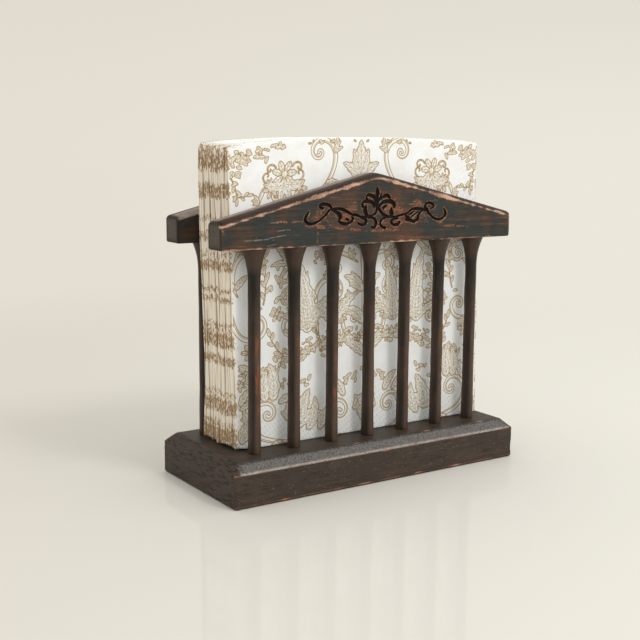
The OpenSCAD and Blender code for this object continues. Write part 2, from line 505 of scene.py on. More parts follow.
BASE_STAIN, BASE_BROWN = colour(62, 54, 47), colour(71, 60, 51)
# The pale grey of the brushed slope is partly a painted reflection of the light above, and the pale line
# along its foot is wear with a painted highlight on it.
BRUSHED_DARK, BRUSHED_PALE_SHEEN = colour(38, 38, 39), colour(140, 134, 129)
SHOULDER_WEAR_AND_HIGHLIGHT = colour(168, 159, 153)
END_GRAIN = colour(50, 38, 28)
PORE_BLACK = colour(20, 17, 14)


def base_finish():
    """The aged wood of the block, its front slope brushed to a silvery grey, partly a painted reflection of
    the light above, with a pale line along its lower edge that is worn and partly a painted highlight, and
    fine scratches that run up it on the slant. Its ends show brown end grain with dark pores."""
    wood = aged_wood(
        "base_wood", BASE_STAIN, BASE_BROWN, patches=0.9, streaks=0.08, flecks=0.6, scratches=0.15)
    x, y, z = wood.parts(wood.point)
    turned = {"X": (x * 0.8 + z * 0.6) * 0.45, "Y": (z * 0.8 - x * 0.6) * 1.3, "Z": y * 0.8}
    hair = wood.noise(wood.add("ShaderNodeCombineXYZ", None, turned), 1.3, 4.0, 0.7)
    crumbs = wood.noise(wood.stretch(wood.point, 1.0, 0.6, 1.0), 1.3, 4.0, 0.75)
    ragged = wood.attribute("brushed") + (crumbs - 0.5) * 3.0 + (wood.cloud - 0.5) * 2
    lower_edge = z.step(shoulder + 1.3, shoulder + 0.4)
    upper_edge = z.step(BASE_H - 1.2, BASE_H - 0.4)
    pale = (crumbs * 0.4 + hair * 0.6).step(0.36, 0.64) * 0.5 + 0.15 - upper_edge * 0.25
    # Brushed silver, partly a painted reflection, and along the foot of the slope a worn line with a painted
    # highlight.
    silver_and_sheen = wood.mix(pale, BRUSHED_DARK, BRUSHED_PALE_SHEEN)
    silver_and_sheen = wood.mix(lower_edge * crumbs.step(0.3, 0.55) * 0.8, silver_and_sheen, SHOULDER_WEAR_AND_HIGHLIGHT)
    tone = wood.mix(ragged.step(0.0, 0.5) * (1 - wood.worn * 0.8), wood.tone, silver_and_sheen)
    on_end = abs(x).step(BASE_L / 2 - BEVEL_W - 3, BASE_L / 2 - BEVEL_W)
    on_end = on_end * abs(y).step(BASE_D / 2 - 1, BASE_D / 2 - 3)
    pores = wood.noise(wood.stretch(wood.point, 0.9, 0.16, 1.1), 1.0, 2.0, 0.5).step(0.53, 0.6)
    tone = wood.mix(on_end * 0.25, tone, END_GRAIN)
    tone = wood.mix(pores * on_end * 0.8, tone, PORE_BLACK)
    wood.set(Base_Color=tone)
    return wood.material


skin(
    "base_block_worn", base, base_finish(), "holder", "base_block",
    {"rub": rub, "brushed": brushed},
)


# ---- Gable bars -----------------------------------------------------------------------------
# Two stained wooden bars, cut to a low gable and bored underneath for the columns. The front one
# has a shallow carving of scrolls and leaves, and its edges are rubbed bare to copper, in places with a
# pale pink painted highlight.

gable_low, gable_high = (np.array(c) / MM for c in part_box("front_pediment"))
GABLE_L, GABLE_T = gable_high[0] - gable_low[0], gable_high[1] - gable_low[1]
GABLE_Z, GABLE_PEAK = gable_low[2], gable_high[2]
# How far the outer face of each bar stands from the middle of the holder.
GABLE_OUTER = -gable_low[1]
GABLE_END_H = 14.5
EDGE_R = 1.1
FRONT_TOP_ROUND = (4.2, 2.3)
REAR_TOP_ROUND = (4.4, 2.8)
APEX_SOFT = 1.6
CARVE_DEPTH = 1.25
# How far the rubbed line on the front face stands below the top of the bar.
RUBBED_LINE = 2.6
# The carved strokes: points across from the middle and up from the bar's underside, with half widths.
CARVING = [
    [(0, 29.9, 0.25), (-0.1, 28.4, 0.8), (0, 26.6, 1.2), (0, 24.4, 0.8), (-0.1, 22, 0.55),
     (-0.2, 20.2, 0.7)],
    [(-0.3, 21.6, 0.3), (-1.2, 24, 0.3), (-2.4, 26.3, 0.2)],
    [(0.3, 21.5, 0.3), (1.6, 24.2, 0.35), (2.8, 26.7, 0.2)],
    [(-0.7, 21.7, 0.4), (-2.4, 24.4, 0.55), (-4.8, 25.8, 0.8), (-6.8, 25.8, 0.65), (-7.8, 24.8, 0.5),
     (-7.1, 23.9, 0.5)],
    [(0.5, 21.7, 0.4), (2.5, 24.2, 0.55), (4.9, 25.4, 0.8), (6.7, 25.2, 0.8), (7.7, 24, 0.4)],
    [(-0.7, 19.6, 0.55), (-2.9, 21.6, 0.8), (-5.9, 22.6, 0.85), (-8.7, 22.6, 0.8), (-10.7, 21.4, 0.6),
     (-10.1, 19.8, 0.65)],
    [(0.7, 19.5, 0.55), (2.8, 21.3, 0.8), (5.5, 22.3, 0.9), (8.5, 22.1, 1), (10.3, 20.7, 0.9),
     (10.5, 19, 0.5)],
    [(-3.1, 20.4, 0.4), (-2.4, 19.6, 0.55)],
    [(5.4, 20.1, 0.4), (3.9, 18.9, 0.8)],
    [(-8, 20, 0.5), (-8.6, 18.2, 1.15), (-8.2, 16.6, 1.2), (-7.1, 15.5, 0.7)],
    [(8.7, 18.4, 0.5), (8.6, 16.6, 1), (9.1, 15.3, 1), (8.2, 14.2, 0.5)],
    [(-0.1, 18.6, 0.6), (-0.9, 16.5, 0.6), (-3.5, 15.1, 0.55), (-7.4, 14.3, 0.55)],
    [(1.1, 18.5, 0.6), (2.8, 16.2, 0.65), (5, 14.8, 0.6), (7.7, 14, 0.4)],
    [(-6.5, 14.1, 0.4), (-3.3, 13.9, 0.55), (-1.2, 12.5, 0.8), (-0.7, 10.4, 0.85), (-1.8, 8.5, 0.55),
     (-3.9, 9, 0.4)],
    [(7, 13.9, 0.4), (4, 13.4, 0.55), (2.3, 11.7, 0.55), (2.3, 9.7, 0.5), (3.6, 8.5, 0.5),
     (4.9, 8.2, 0.7)],
    [(-11.5, 14, 0.4), (-8.9, 13.4, 0.7), (-7.9, 11.6, 0.9), (-9.6, 10.3, 0.6), (-12.3, 10.6, 0.55),
     (-13.8, 11.6, 0.3)],
    [(12.8, 12.9, 0.4), (10.2, 12.7, 0.55), (8.7, 11.3, 0.55), (9.9, 9.8, 0.55), (12.5, 9.6, 0.7),
     (14, 10.8, 0.55)],
    [(-7.4, 14.3, 0.5), (-11.5, 14.7, 0.4), (-14.8, 15.6, 0.6), (-18.1, 16, 0.4), (-20.9, 17.4, 0.6),
     (-24.3, 18.7, 0.65), (-28.3, 19.3, 0.55), (-31.9, 18.9, 0.55)],
    [(-31.1, 18.4, 0.4), (-28.3, 17.3, 0.85), (-26.3, 15.7, 1.2), (-26, 14, 0.7), (-26.9, 12.9, 0.4),
     (-25, 11.6, 0.7), (-21.5, 11.1, 0.7), (-18.4, 12.3, 0.65), (-17, 13.7, 0.7), (-18, 14.6, 0.4)],
    [(-22.2, 13.8, 0.3), (-20.4, 13.3, 0.5)],
    [(-32, 18.9, 0.5), (-32.7, 20.5, 0.6), (-35.2, 21.7, 0.7), (-38.6, 21.8, 0.7), (-40.3, 21.1, 0.4),
     (-39.3, 20, 0.6), (-37.9, 19.7, 0.65)],
    [(-33.6, 18.6, 0.5), (-36, 16.2, 0.4), (-39.8, 13.6, 0.4), (-43.4, 12.2, 0.5), (-46.9, 11.9, 0.55),
     (-49.5, 13.3, 0.8), (-49.7, 15.2, 0.7), (-48.2, 16.9, 0.5), (-47.6, 17.9, 0.4)],
    [(7.7, 14, 0.4), (11.5, 13.9, 0.4), (15.5, 14.8, 0.4), (18.8, 15.6, 0.4), (21.4, 17.4, 0.4),
     (24.6, 17.9, 0.6), (28, 17.4, 0.65), (31.3, 17.1, 0.85)],
    [(17.5, 14.4, 0.3), (19.4, 12.9, 0.9), (18.1, 12.2, 0.65), (20.7, 11.6, 0.7), (23.2, 10.8, 0.8)],
    [(19.8, 14.7, 0.25), (22.7, 16.2, 0.35)],
    [(23.2, 10.8, 0.7), (25.3, 12.2, 0.8), (26, 14.6, 0.55), (28, 16.2, 0.3)],
    [(21.2, 13, 0.25), (23.3, 14.7, 0.35), (25.7, 16, 0.25)],
    [(30.8, 17.3, 0.8), (30, 19, 0.6), (30.9, 20.5, 0.4), (33.1, 20.8, 0.55), (35.1, 20, 0.55),
     (35.5, 18.5, 0.4), (33.7, 17.6, 0.2)],
    [(31.3, 16.8, 0.55), (33.1, 14.6, 0.4), (35.6, 12.5, 0.4), (38.7, 11.5, 0.5), (41.7, 12.2, 0.6),
     (43.3, 14.2, 0.65), (43, 16, 0.5), (42.2, 17.2, 0.25)],
]

# Pale scratches, and streaks where the stain is rubbed through to copper, given in the same way.
SCRATCHES = [
    [(-82, 4.8, 0.05), (-76, 4.8, 0.2), (-68, 5.2, 0.05)],
    [(-68, 5.6, 0.02), (-64, 6.0, 0.12), (-58, 6.8, 0.02)],
    [(-62.8, 9.0, 0.02), (-58, 9.4, 0.1), (-54, 9.3, 0.02)],
    [(-69, 1.6, 0.02), (-64, 2.5, 0.06)],
    [(-67, 13.2, 0.02), (-60, 13.6, 0.06)],
]
STREAKS = [
    [(-39, 19, 0.3), (-39.2, 12, 0.5), (-38.6, 6, 0.2), (-38.9, 0.4, 0.5)],
    [(-68, 13.3, 0.1), (-57, 13.4, 0.3), (-47.8, 13, 0.1)],
    [(-46.6, 11, 0.3), (-40, 10.3, 0.7), (-31, 9.9, 0.2)],
    [(41.3, 10.6, 0.2), (44, 8.9, 0.8), (47, 7.6, 0.5), (55, 7.3, 0.4), (63, 7, 0.1)],
    [(6.4, 20.7, 0.1), (14, 20.8, 0.3), (25, 20.3, 0.1)],
    [(-37, 17.8, 0.3), (-30, 10.5, 0.2), (-22, 8.8, 0.4), (-10, 7.4, 0.2), (4, 6.5, 0.3), (14, 7.2, 0.1)],
]


def smooth_path(points, steps=6):
    """A Catmull-Rom curve: between two points it is the cubic whose ends point along their neighbours."""
    points = np.array(points, float)
    padded = np.concatenate([2 * points[:1] - points[1:2], points, 2 * points[-1:] - points[-2:-1]])
    t = np.linspace(0, 1, steps, endpoint=False)[:, None, None]
    a, b, c, d = padded[:-3], padded[1:-2], padded[2:-1], padded[3:]
    curve = b + t * (c - a) / 2 + t**2 * (a - 2.5 * b + 2 * c - d / 2)
    curve += t**3 * (1.5 * b - 1.5 * c + (d - a) / 2)
    return np.concatenate([curve.swapaxes(0, 1).reshape(-1, points.shape[1]), points[-1:]])


def nearest_stroke(x, z, strokes, reach):
    """What lies nearest each point: the distance in millimetres to the edge of any stroke, less than zero
    inside and reach where none is near, then the way across that stroke and its half width there, and what
    else the stroke carries. A stroke is a chain of short capsules whose half width runs evenly from end to
    end, given as rows of x, z, half width and anything more."""
    nearest = np.full(x.size, reach)
    across, carried = np.zeros(x.size), np.ones((x.size, strokes[0].shape[1] - 2))
    order = np.argsort(x, kind="stable")
    sorted_x = x[order]
    for path in strokes:
        room = path[:, 2].max() + reach
        low, high = path[:, :2].min(0) - room, path[:, :2].max(0) + room
        inside = order[np.searchsorted(sorted_x, low[0]):np.searchsorted(sorted_x, high[0])]
        near = inside[(z[inside] > low[1]) & (z[inside] < high[1])]
        point = np.stack([x[near], z[near]], -1)[:, None]
        start, line = path[:-1, :2], np.diff(path[:, :2], axis=0)
        share = ((point - start) * line).sum(-1) / np.maximum((line**2).sum(-1), 1e-9)
        share = np.clip(share, 0, 1)
        offset = point - start - share[..., None] * line
        gap = np.hypot(offset[..., 0], offset[..., 1]) - path[:-1, 2] - share * np.diff(path[:, 2])
        best = gap.argmin(1)
        row = np.arange(near.size)
        closer = gap[row, best] < nearest[near]
        row, best, spot = row[closer], best[closer], near[closer]
        off = offset[row, best]
        turn = np.sign(line[best, 0] * off[:, 1] - line[best, 1] * off[:, 0])
        nearest[spot] = gap[row, best]
        across[spot] = turn * np.hypot(off[:, 0], off[:, 1])
        carried[spot] = path[best, 2:] + share[row, best][:, None] * np.diff(path[:, 2:], axis=0)[best]
    return nearest, across, *carried.T


def gable_top(x):
    """Height of the bar above its underside: two straight slopes that meet in a slightly rounded ridge."""
    rise = GABLE_PEAK - GABLE_Z - GABLE_END_H
    half = GABLE_L / 2
    soft = (np.sqrt(x**2 + APEX_SOFT**2) - APEX_SOFT) / (math.sqrt(half**2 + APEX_SOFT**2) - APEX_SOFT)
    return GABLE_END_H + rise * (1 - soft)


def gable_ring(front_rows, top_rows):
    """Once round the bar's cross-section. A point stands at y from the outer face and at a height of
    fixed + share * top; its normal comes with it. Both top edges are worn to a quarter of an ellipse."""
    def edge(y, share, across, up, start, end, steps=6):
        """A quarter of an ellipse, across wide and up high, at the outer or the inner face."""
        angle = np.radians(np.linspace(start, end, steps))
        cos, sin = np.cos(angle), np.sin(angle)
        y_mid = across if y == 0 else GABLE_T - across
        fixed = up if share == 0 else -up
        long = np.hypot(cos / across, sin / up)
        normal_y, normal_z = cos / across / long, sin / up / long
        return np.stack([y_mid + across * cos, fixed + up * sin, share + 0 * angle, normal_y, normal_z])

    def face(start, end, rows):
        """Points on the straight stretch between two edges."""
        t = np.linspace(0, 1, rows + 2)[1:-1]
        run = start[:3, None] + (end - start)[:3, None] * t
        normal = np.broadcast_to(start[3:, None], (2, rows))
        return np.concatenate([run, normal])

    foot_front = edge(0, 0, EDGE_R, EDGE_R, 270, 180)
    top_front = edge(0, 1, *FRONT_TOP_ROUND, 180, 90, 13)
    top_rear = edge(1, 1, *REAR_TOP_ROUND, 90, 0, 11)
    foot_rear = edge(1, 0, EDGE_R, EDGE_R, 360, 270)
    return np.concatenate([
        foot_front, face(foot_front[:, -1], top_front[:, 0], front_rows),
        top_front, face(top_front[:, -1], top_rear[:, 0], top_rows),
        top_rear, face(top_rear[:, -1], foot_rear[:, 0], 12),
        foot_rear, face(foot_rear[:, -1], foot_front[:, 0], 8),
        foot_front[:, :1],
    ], 1)


def gable_bar(side, stations, front_rows, top_rows):
    """The bar's surface: its cross-section carried along x, drawn in at the ends over a small rounding and
    then to a point in the middle of the end face. Gives the points, each one's place along, into and up the
    bar, and the height of the bar's top there."""
    y, fixed, share, normal_y, normal_z = gable_ring(front_rows, top_rows)
    half = GABLE_L / 2
    turn = np.linspace(0, np.pi / 2, 5)[1:]
    end_x = half - EDGE_R + EDGE_R * np.sin(turn)
    end_in = EDGE_R * (1 - np.cos(turn))
    close = np.array([0.85, 0.6, 0.3, 0.0])
    x = np.concatenate([[-half] * 4, -end_x[::-1], stations, end_x, [half] * 4])[:, None]
    drawn = np.concatenate([[EDGE_R] * 4, end_in[::-1], 0 * stations, end_in, [EDGE_R] * 4])[:, None]
    keep = np.concatenate([close[::-1], np.ones(8 + stations.size), close])[:, None]
    top = gable_top(x)
    along_y = GABLE_T / 2 + (y - normal_y * drawn - GABLE_T / 2) * keep
    along_z = top / 2 + (fixed + share * top - normal_z * drawn - top / 2) * keep
    x, top = x + 0 * y, top + 0 * y
    points = np.stack([x, side * (GABLE_OUTER - along_y), GABLE_Z + along_z], -1)
    return points, x, along_y, along_z, top


def edge_rub(points, x, y, z, top, seed, strength):
    """How far inside a worn strip each point lies, in millimetres: a line below the top edge in front, wider
    in the middle and at the left, a narrow one on the lower edge, and traces on the front edges of the
    ends."""
    far = 9.0
    patchy = plane_waves(points, 24, seed) * 0.5 + plane_waves(points, 6, seed + 1) * 0.35
    from_line = np.where(y < 3, np.abs(top - z - RUBBED_LINE), far)
    from_foot = np.where(y < 3, np.hypot(z, y), far)
    from_end = np.hypot(np.maximum(GABLE_L / 2 - np.abs(x) - 1.4, 0), y)
    from_end = np.where(y < 1, from_end, far)
    wide = 0.38 + 0.32 * np.exp(-((x / 60) ** 2)) + 0.15 * ramp(-x, 40, 70)
    rub = np.maximum(wide + patchy * 0.55 - from_line, 0.75 + patchy * 0.5 - from_foot)
    rub = np.maximum(rub, patchy * 0.3 - 0.1 - from_end * 0.6)
    return np.maximum(rub, -4) * strength - 4 * (1 - strength)


FRONT_STAIN, FRONT_BROWN = colour(50, 53, 51), colour(76, 58, 47)
BACK_STAIN, BACK_BROWN = colour(45, 43, 40), colour(61, 47, 38)
TOP_RED, TOP_DARK = colour(58, 41, 35), colour(40, 30, 26)
# The pale satin tones are a painted sheen on the rear half of a bar's top.
SATIN_SHEEN_PALE, SATIN_SHEEN_DARK = colour(150, 136, 126), colour(118, 106, 98)
# The rim tone is painted shade along the rounded arrises round the end faces.
END_PALE, END_DARK, END_ARRIS_SHADE = colour(76, 68, 59), colour(48, 41, 35), colour(32, 25, 21)
# Worn edges are copper; the pale pink among them is a painted highlight.
RUBBED_EDGE, PALE_EDGE_HIGHLIGHT = colour(122, 84, 66), colour(206, 168, 146)
GLOW_DARK, GLOW_PALE = colour(104, 67, 48), colour(146, 96, 68)
SCRATCHED_GREY = colour(146, 144, 138)
# Painted shade in the bottom of the carved cuts.
CUT_SHADE = colour(13, 9, 7)
# Painted highlight on the lower right lips of the cuts.
LIP_HIGHLIGHT = colour(176, 164, 152)


def bar_finish(name, stain, brown, streaks):
    """The aged wood of a bar. Its top is dark red-brown in front and has a painted sheen, pale, behind; its
    end faces are satin with fine scratches and painted shade along their rim, and its worn edges are
    coppery, in places with a pale pink painted highlight."""
    wood = aged_wood(name, stain, brown, patches=1.0, streaks=streaks, flecks=0.15, scratches=1.0)
    dark_top = wood.mix(wood.fine.step(0.4, 0.7), TOP_RED, TOP_DARK)
    tone = wood.mix(wood.attribute("shade") * 0.85, wood.tone, dark_top)
    # Painted sheen: the rear half of the top is drawn pale.
    satin = wood.mix(wood.fine.step(0.35, 0.65), SATIN_SHEEN_PALE, SATIN_SHEEN_DARK)
    smooth = (wood.attribute("smooth") + (wood.fine - 0.5) * 0.3).step(0.35, 0.7)
    tone = wood.mix(smooth, tone, satin)
    x, y, z = wood.parts(wood.point)
    slanted = {"X": x, "Y": (y + z * 0.8) * 2.2, "Z": (z - y * 0.8) * 0.2}
    scratches = wood.noise(wood.add("ShaderNodeCombineXYZ", None, slanted), 1.0, 2.0, 0.5)
    end_tone = wood.mix(scratches.step(0.55, 0.68) * 0.8, END_PALE, END_DARK)
    tone = wood.mix(wood.attribute("end"), tone, end_tone)
    # Painted shade along the arrises round the end faces.
    tone = wood.mix(wood.attribute("arris_shade") * 0.8, tone, END_ARRIS_SHADE)
    # Copper where the edges are worn, with a painted highlight in pale pink in places.
    pale_highlight = (wood.cloud * 0.7 + wood.speck * 0.3 + wood.fine * 0.3).step(0.52, 0.72)
    wood.tone = wood.mix(wood.worn * 0.72, tone, wood.mix(pale_highlight, RUBBED_EDGE, PALE_EDGE_HIGHLIGHT))
    wood.set(Base_Color=wood.tone)
    return wood


def carved_finish():
    """The front bar's finish: greener-grey, with a copper glow round the carving and along its streaks,
    pale scratches, painted shade near black at the bottom of the cuts and a painted highlight on their lower
    right lips."""
    wood = bar_finish("front_gable_wood", FRONT_STAIN, FRONT_BROWN, streaks=1.0)
    halo = wood.attribute("halo") * 0.55 + (wood.speck - 0.5) * 0.7 + (wood.fine - 0.5) * 2.2
    glow = wood.mix(wood.speck.step(0.4, 0.6), GLOW_DARK, GLOW_PALE)
    tone = wood.mix(halo.step(0.35, 0.7) * 0.75, wood.tone, glow)
    scratched = wood.attribute("scratched") * wood.speck.step(0.35, 0.55)
    tone = wood.mix(scratched * 0.6, tone, SCRATCHED_GREY)
    # Painted shade: near black at the bottom of the cuts.
    tone = wood.mix(wood.attribute("groove_shade").step(0.1, 0.5), tone, CUT_SHADE)
    # Painted highlight on the lower right lips of the cuts.
    tone = wood.mix(wood.attribute("lip").step(0.25, 0.7) * 0.8, tone, LIP_HIGHLIGHT)
    wood.set(Base_Color=tone)
    return wood


def gable_marks(x, y, z, top):
    """Where the bar's finish changes: a painted sheen on the rear half of its top, dark on the front half,
    painted shade along the arrises of its ends, and satin end faces."""
    on_top = ramp(z, top - 3.4, top - 1.2)
    in_front = ramp(-y, -GABLE_T * 0.44, -GABLE_T * 0.36)
    from_end = GABLE_L / 2 - np.abs(x)
    inwards = np.minimum(np.minimum(y, GABLE_T - y), np.minimum(z, top - z))
    return {
        # Painted sheen on the rear half of the top.
        "smooth": on_top * ramp(y, GABLE_T * 0.36, GABLE_T * 0.44),
        "shade": on_top * in_front * ramp(z, top - 2.4, top - 1.4),
        "end": ramp(-from_end, -0.35, -0.1),
        # Painted shade along the arrises of the ends.
        "arris_shade": ramp(-from_end, -1.3, -0.8) * ramp(-inwards, -2.6, -1.3) * (y > 0.4),
    }


# The front bar has close columns of points where the carving is, and looser ones towards its ends.
CARVED_FROM, CARVED_TO = -48.5, 50.0
reach = GABLE_L / 2 - EDGE_R
stations = np.concatenate([
    np.linspace(-reach, CARVED_FROM, 60, endpoint=False),
    np.arange(CARVED_FROM, CARVED_TO, 0.25),
    np.linspace(CARVED_TO, reach, 60),
])
front_bar, fx, fy, fz, ftop = gable_bar(-1, stations, front_rows=104, top_rows=22)


def face_distance(x, z, strokes):
    """Distance from each point of the front face to the edge of the nearest of these strokes."""
    paths = [smooth_path(stroke) for stroke in strokes]
    gap = nearest_stroke(x.ravel(), z.ravel(), paths, 2.0)[0].reshape(x.shape)
    return np.where(fy < EDGE_R * 0.9, gap, 2.0)


# The drawn carving is pressed together left of its middle and stretched right of it.
CARVING_MIDDLE = -0.7
LEFT_WIDTH, RIGHT_WIDTH = 0.916, 1.09
LIP_ACROSS, LIP_DOWN = 0.4, 0.34
carved_x = (fx - CARVING_MIDDLE) / np.where(fx < CARVING_MIDDLE, LEFT_WIDTH, RIGHT_WIDTH)
gap = face_distance(carved_x, fz, CARVING)
# How deep each point is cut; it also places the painted shade in the cuts.
sunk = ramp(-gap, -0.36, 0.16)
# A painted highlight on the lower right lip of each cut.
lip = ramp(-face_distance(carved_x - LIP_ACROSS, fz + LIP_DOWN, CARVING), -0.1, 0.25)
lip *= ramp(gap, 0.12, 0.3) * ramp(plane_waves(front_bar, 5, 30), -1.1, 0.5)
halo = ramp(-np.hypot(np.maximum(np.abs(fx + 1) - 30, 0) / 16, (fz - 17) / 11), -1.1, -0.2)
halo *= ramp(plane_waves(front_bar, 13, 31), -0.9, 1.1)
halo = np.maximum(halo, 1.15 * ramp(-gap, -1.3, -0.3))
streaked = ramp(-face_distance(fx, fz, STREAKS), -0.9, 0.1)
halo = np.maximum(halo, streaked * (1 + 0.4 * plane_waves(front_bar, 5, 35)))
scratched = ramp(-face_distance(fx, fz, SCRATCHES), -0.3, 0.02)
wobble = plane_waves(front_bar, 17, 32) * 0.06 * (fy < EDGE_R) * (fz > 2) * (fz < ftop - 2)
front_bar[..., 1] += CARVE_DEPTH * sunk + wobble
front_rub = edge_rub(front_bar, fx, fy, fz, ftop, seed=33, strength=1.0)
skin(
    "front_pediment_carved", front_bar, carved_finish().material, "holder", "front_pediment",
    {"rub": front_rub, "groove_shade": sunk, "lip": lip, "halo": halo, "scratched": scratched,
     **gable_marks(fx, fy, fz, ftop)},
)

stations = np.linspace(-reach, reach, 150)
back_bar, bx, by, bz, btop = gable_bar(1, stations, front_rows=26, top_rows=12)
back_rub = edge_rub(back_bar, bx, by, bz, btop, seed=43, strength=0.8)
back_finish = bar_finish("back_gable_wood", BACK_STAIN, BACK_BROWN, streaks=0.2)
skin(
    "back_pediment_worn", back_bar, back_finish.material, "holder", "back_pediment",
    {"rub": back_rub, **gable_marks(bx, by, bz, btop)},
)


# ---- Columns --------------------------------------------------------------------------------
# Seven wooden columns in front and seven behind, turned on a lathe: a slim shaft with a slight
# taper at the foot, opening into a trumpet under the gable. Their stain is near black and satin.

SHAFT_R, COLUMN_FOOT_R, CAPITAL_R = 3.25, 3.55, 6.3
FOOT_RISE, CAPITAL_RISE = 26.0, 18.0
LIP_H = 0.8
FLARE = 2.4
COLUMN_SIDES = 44


def turned_radius(h, length):
    """Radius at a height: a straight taper over the foot, the shaft, and a power curve that flares out."""
    foot = SHAFT_R + (COLUMN_FOOT_R - SHAFT_R) * np.clip(1 - h / FOOT_RISE, 0, 1)
    rise = np.clip((h - (length - CAPITAL_RISE)) / (CAPITAL_RISE - LIP_H), 0, 1)
    return foot + (CAPITAL_R - SHAFT_R) * rise**FLARE


# The brown serves both for browner wood and for painted light on the side of a column towards the lamp and a
# painted reflection on its left.
COLUMN_BLACK, COLUMN_BROWN_AND_LIT = colour(21, 19, 16), colour(80, 61, 49)
COLUMN_GRAIN = colour(18, 15, 13)
DARK_COPPER, WORN_COPPER = colour(84, 50, 34), colour(118, 72, 48)
COLUMN_FLECK = colour(120, 92, 78)


def column_finish():
    """Near-black stain with faint long grain, browner in places, painted lighter on the side towards the
    lamp and with a painted reflection along the left, and copper where a shaft is rubbed.
    """
    wood = Finish("column_wood")
    place = wood.place()
    grain = wood.noise(wood.stretch(place, 1.0, 1.0, 0.06), 1.5, 4.0, 0.6)
    cloud = wood.noise(wood.stretch(place, 1.0, 1.0, 0.35), 0.12, 3.0, 0.6)
    speck = wood.noise(place, 1.2, 3.0, 0.6)
    # Browner wood in places, plus painted light on the side towards the lamp and a painted reflection on the
    # left.
    brown_and_lit = (cloud * 0.6 + grain * 0.5).step(0.45, 0.68) * 0.3 + wood.attribute("brown_and_lit") * 0.8
    tone = wood.mix(brown_and_lit.smaller(1.0), COLUMN_BLACK, COLUMN_BROWN_AND_LIT)
    tone = wood.mix(grain.step(0.5, 0.75) * 0.6, tone, COLUMN_GRAIN)
    worn = (wood.attribute("rub") + (speck - 0.5) * 1.2 + (grain - 0.5) * 1.6).step(0.25, 1.1)
    tone = wood.mix(worn, tone, wood.mix(grain.step(0.4, 0.6), DARK_COPPER, WORN_COPPER))
    tone = wood.mix(speck.step(0.74, 0.78) * 0.35, tone, COLUMN_FLECK)
    roughness = 0.36 + (grain - 0.5) * 0.2 + worn * 0.1
    wood.set(Base_Color=tone, Roughness=roughness, Specular_IOR_Level=0.25)
    wood.set(Normal=wood.bump(grain * 0.6 + speck * 0.15, 0.35, 0.00025))
    return wood.material


COLUMN_FINISH = column_finish()
# The sides, in degrees round a column from the right, that are rubbed, that carry painted light towards
# the lamp, and that carry a painted reflection on the left.
RUBBED_SIDE, LAMP_SIDE, RIM_LIGHT_SIDE = -70, -68, 175


def column(name, seed, rubbed):
    """A surface of revolution with a trace of lathe unevenness. rubbed is how strongly copper shows in the
    streak on its side to the right."""
    low, high = (np.array(c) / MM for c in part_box(name))
    middle = (low + high) / 2
    length = GABLE_Z - BASE_H
    flare_from = length - CAPITAL_RISE
    h = np.concatenate([
        [-0.4, 0.0, 0.25],
        np.linspace(1, flare_from, 84),
        flare_from + np.linspace(0.4, CAPITAL_RISE - LIP_H, 30),
        [length - 0.4, length, length + 0.4],
    ])
    radius = turned_radius(h, length)
    radius[1] -= 0.12
    angle = np.linspace(0, 2 * np.pi, COLUMN_SIDES + 1)
    angle[-1] = 0
    radius = np.concatenate([[0], radius, [0]])[:, None]
    h = np.concatenate([h[:1], h, h[-1:]])[:, None]
    direction = np.stack([np.cos(angle) + 0 * h, np.sin(angle) + 0 * h, 0.03 * h + 0 * angle], -1)
    uneven = plane_waves(direction * 2.2 + seed, 1.4, 60) * 0.05
    radius = radius + uneven * (radius > 0) * (h > 0.5) * (h < length - 0.5)
    turned = np.stack([
        middle[0] + radius * np.cos(angle),
        middle[1] + radius * np.sin(angle),
        BASE_H + h + 0 * angle,
    ], -1)

    def facing(degrees, start, full):
        """1 on the side of the column that looks this way, falling to 0 round to the next."""
        return ramp(np.cos(angle - np.radians(degrees)), start, full)

    patchy = plane_waves(turned, 9, seed + 70)
    streak = facing(RUBBED_SIDE, 0.55, 0.95)
    streak = streak * ramp(h / length, 0.1, 0.2) * ramp(-h / length, -0.75, -0.55)
    nick = 0.5 * ramp(-h, -1.5, -0.3) * (patchy > 0.9)
    rub = streak * rubbed * (0.75 + 0.3 * patchy) + nick
    # Painted light on the side towards the lamp and a painted reflection on the left, fading into painted
    # shade, near black, under the capital's flare; the capital itself is browner.
    below = 0.15 + 0.85 * ramp(-h, 20 - length, 55 - length)
    lit_sides = np.maximum(facing(LAMP_SIDE, 0.45, 0.97), 0.55 * facing(RIM_LIGHT_SIDE, 0.6, 0.97))
    brown_and_lit = np.maximum(lit_sides * below, 0.6 * ramp(h, length - 15, length - 8))
    marks = {"rub": rub, "brown_and_lit": brown_and_lit}
    skin(name + "_turned", turned, COLUMN_FINISH, "holder", name, marks)


RUBBED_FRONT = [1.0, 0.5, 0.55, 0.35, 0.45, 0.4, 0.35]
RUBBED_BACK = 0.4
for number, rubbed_front in enumerate(RUBBED_FRONT, 1):
    column(f"front_column_{number}", number, rubbed_front)
    column(f"back_column_{number}", 10 + number, RUBBED_BACK)


# ---- Napkins --------------------------------------------------------------------------------
# Twenty paper napkins, each folded so that two rounded folds show on its left, stand on the base in a
# stack that leans a little to the left. A scroll print in tan runs over their faces and folds.

